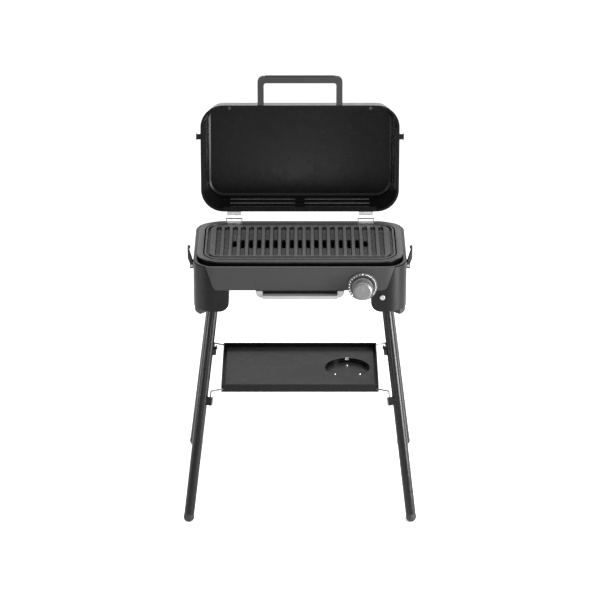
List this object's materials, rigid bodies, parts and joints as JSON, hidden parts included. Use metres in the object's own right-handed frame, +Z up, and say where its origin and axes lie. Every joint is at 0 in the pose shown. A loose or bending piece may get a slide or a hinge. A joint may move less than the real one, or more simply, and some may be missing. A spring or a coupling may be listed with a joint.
{
  "type": "portable camp grill on plug-in legs",
  "caption": "Portable gas camp grill with open lid, ribbed plate, drip tray and a wire-hung shelf with a cartridge well, on splayed plug-in legs.",
  "frame": {"origin": "middle of the bounding box on the floor", "axes": "+X to the right seen from the knob side, +Y from the knob to the hinges, +Z up"},
  "size_m": [0.584, 0.5177, 1.0341],
  "materials": {
    "housing_plastic": "fine grain, satin",
    "fascia_paint": "satin powder coat",
    "pan_enamel": "semi-gloss enamel",
    "plate_coating": "smooth non-stick, semi-gloss",
    "lid_paint": "matt high-temperature paint",
    "stainless": "bright, finely brushed",
    "zinc_steel": "zinc plated",
    "brass": "machined",
    "copper_pipe": "drawn, dull",
    "silver_plastic": "silver lacquered, satin",
    "bezel_grey": "satin",
    "print_white": "printed ink",
    "black_plastic": "fine grain, matt",
    "rubber_black": "matt",
    "ceramic_white": "glazed ceramic",
    "leg_paint": "fine textured powder coat",
    "shelf_paint": "satin powder coat",
    "tray_steel": "dark enamel"
  },
  "bodies": {
    "housing": {"side_housing_left": "housing_plastic", "side_housing_right": "housing_plastic", "front_fascia": "fascia_paint", "rear_panel": "fascia_paint", "firebox_pan": "pan_enamel", "burner_tube": "zinc_steel", "gas_pipe": "copper_pipe", "gas_valve": "brass", "gas_inlet_nipple": "brass", "knob_bezel": "bezel_grey", "dial_marks": "print_white", "piezo_unit": "black_plastic", "igniter_electrode": "ceramic_white", "drip_tray_rails": "zinc_steel", "hinge_brackets": "stainless", "hinge_pins": "zinc_steel", "latch_brackets": "black_plastic", "latch_pins": "zinc_steel", "leg_sockets": "black_plastic", "tabletop_feet": "rubber_black"},
    "spindle": {"valve_spindle": "zinc_steel"},
    "knob": {"control_knob": "silver_plastic", "knob_pointer": "silver_plastic"},
    "igniter": {"igniter_button": "silver_plastic"},
    "drip_tray": {"drip_tray": "tray_steel", "drip_tray_handle": "silver_plastic"},
    "plate": {"cooking_plate": "plate_coating"},
    "lid": {"lid_shell": "lid_paint", "lid_flanges": "lid_paint", "lid_louvers": "lid_paint", "lid_bumpers": "rubber_black", "lid_handle": "black_plastic", "handle_grip": "rubber_black", "lid_screws": "stainless", "hinge_leaves": "stainless", "latch_keepers": "zinc_steel"},
    "latch_left": {"latch_left": "black_plastic"},
    "latch_right": {"latch_right": "black_plastic"},
    "shelf": {"shelf_tray": "shelf_paint", "cartridge_cup": "shelf_paint", "cartridge_clip": "stainless", "cup_rivets": "stainless", "shelf_wires": "zinc_steel"},
    "upper_fl": {"leg_upper_fl": "leg_paint", "leg_clip_fl": "leg_paint"},
    "lower_fl": {"leg_lower_fl": "leg_paint", "foot_fl": "rubber_black"},
    "upper_fr": {"leg_upper_fr": "leg_paint", "leg_clip_fr": "leg_paint"},
    "lower_fr": {"leg_lower_fr": "leg_paint", "foot_fr": "rubber_black"},
    "upper_rl": {"leg_upper_rl": "leg_paint", "leg_clip_rl": "leg_paint"},
    "lower_rl": {"leg_lower_rl": "leg_paint", "foot_rl": "rubber_black"},
    "upper_rr": {"leg_upper_rr": "leg_paint", "leg_clip_rr": "leg_paint"},
    "lower_rr": {"leg_lower_rr": "leg_paint", "foot_rr": "rubber_black"}
  },
  "joints": [
    {"name": "lid_hinge", "type": "hinge", "parent": "housing", "child": "lid", "pos_m": [0, 0.12156, 0.673], "axis": [-1, 0, 0], "range_deg": [-97, 0]},
    {"name": "latch_left_hinge", "type": "hinge", "parent": "housing", "child": "latch_left", "pos_m": [-0.267, -0.08774, 0.633], "axis": [0, -1, 0], "range_deg": [-16, 0]},
    {"name": "latch_right_hinge", "type": "hinge", "parent": "housing", "child": "latch_right", "pos_m": [0.267, -0.08774, 0.633], "axis": [0, 1, 0], "range_deg": [-16, 0]},
    {"name": "spindle_turn", "type": "hinge", "parent": "housing", "child": "spindle", "pos_m": [0.153, -0.19074, 0.612], "axis": [0, -1, 0], "range_deg": [0, 150]},
    {"name": "knob_push", "type": "slide", "parent": "spindle", "child": "knob", "axis": [0, 1, 0], "range_m": [0, 0.0025], "stiffness_N_per_m": 1200},
    {"name": "igniter_push", "type": "slide", "parent": "housing", "child": "igniter", "axis": [0, 1, 0], "range_m": [0, 0.0035], "stiffness_N_per_m": 800},
    {"name": "drip_tray_slide", "type": "slide", "parent": "housing", "child": "drip_tray", "axis": [0, -1, 0], "range_m": [0, 0.18]},
    {"name": "plate_lift", "type": "slide", "parent": "housing", "child": "plate", "axis": [0, 0, 1], "range_m": [0, 0.05]},
    {"name": "shelf_lift", "type": "slide", "parent": "housing", "child": "shelf", "axis": [0, 0, 1], "range_m": [0, 0.03]},
    {"name": "leg_upper_fl_slide", "type": "slide", "parent": "housing", "child": "upper_fl", "axis": [-0.1179, -0.2321, -0.9655], "range_m": [0, 0.08]},
    {"name": "leg_lower_fl_slide", "type": "slide", "parent": "upper_fl", "child": "lower_fl", "axis": [-0.1179, -0.2321, -0.9655], "range_m": [0, 0.06]},
    {"name": "leg_upper_fr_slide", "type": "slide", "parent": "housing", "child": "upper_fr", "axis": [0.1179, -0.2321, -0.9655], "range_m": [0, 0.08]},
    {"name": "leg_lower_fr_slide", "type": "slide", "parent": "upper_fr", "child": "lower_fr", "axis": [0.1179, -0.2321, -0.9655], "range_m": [0, 0.06]},
    {"name": "leg_upper_rl_slide", "type": "slide", "parent": "housing", "child": "upper_rl", "axis": [-0.1179, 0.2321, -0.9655], "range_m": [0, 0.08]},
    {"name": "leg_lower_rl_slide", "type": "slide", "parent": "upper_rl", "child": "lower_rl", "axis": [-0.1179, 0.2321, -0.9655], "range_m": [0, 0.06]},
    {"name": "leg_upper_rr_slide", "type": "slide", "parent": "housing", "child": "upper_rr", "axis": [0.1179, 0.2321, -0.9655], "range_m": [0, 0.08]},
    {"name": "leg_lower_rr_slide", "type": "slide", "parent": "upper_rr", "child": "lower_rr", "axis": [0.1179, 0.2321, -0.9655], "range_m": [0, 0.06]}
  ]
}
